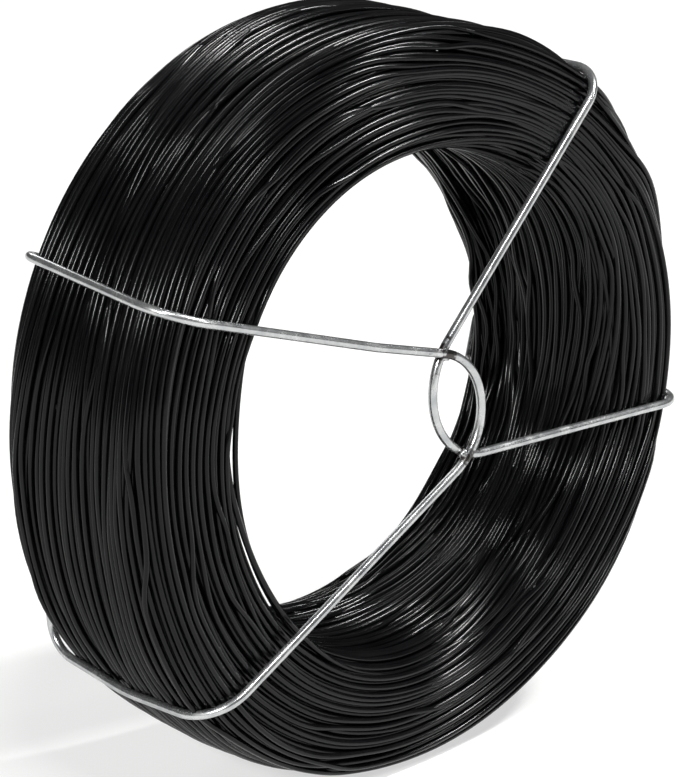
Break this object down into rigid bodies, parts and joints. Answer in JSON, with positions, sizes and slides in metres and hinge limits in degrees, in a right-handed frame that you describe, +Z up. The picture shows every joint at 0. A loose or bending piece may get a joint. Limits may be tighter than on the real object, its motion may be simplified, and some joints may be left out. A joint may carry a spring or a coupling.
{
  "type": "coil of binding wire",
  "caption": "Coil of black binding wire wound in many turns round an open middle, held by two bent galvanised retainer wires welded into an eye in front.",
  "frame": {"origin": "on the floor under the middle of the coil, which stands on its rim", "axes": "+Z up, Y along the coil's axis with the eye of the retainer wires on the -Y side, +X to the right when that side is seen"},
  "size_m": [0.2004, 0.0666, 0.2],
  "materials": {
    "binding_wire": "black, semi-gloss, smooth drawn",
    "retainer_wire": "bright galvanised, smooth, burnt at the welds"
  },
  "bodies": {
    "root": {"wire_coil": "binding_wire", "retainer_wire_left": "retainer_wire", "retainer_wire_right": "retainer_wire"}
  },
  "joints": []
}
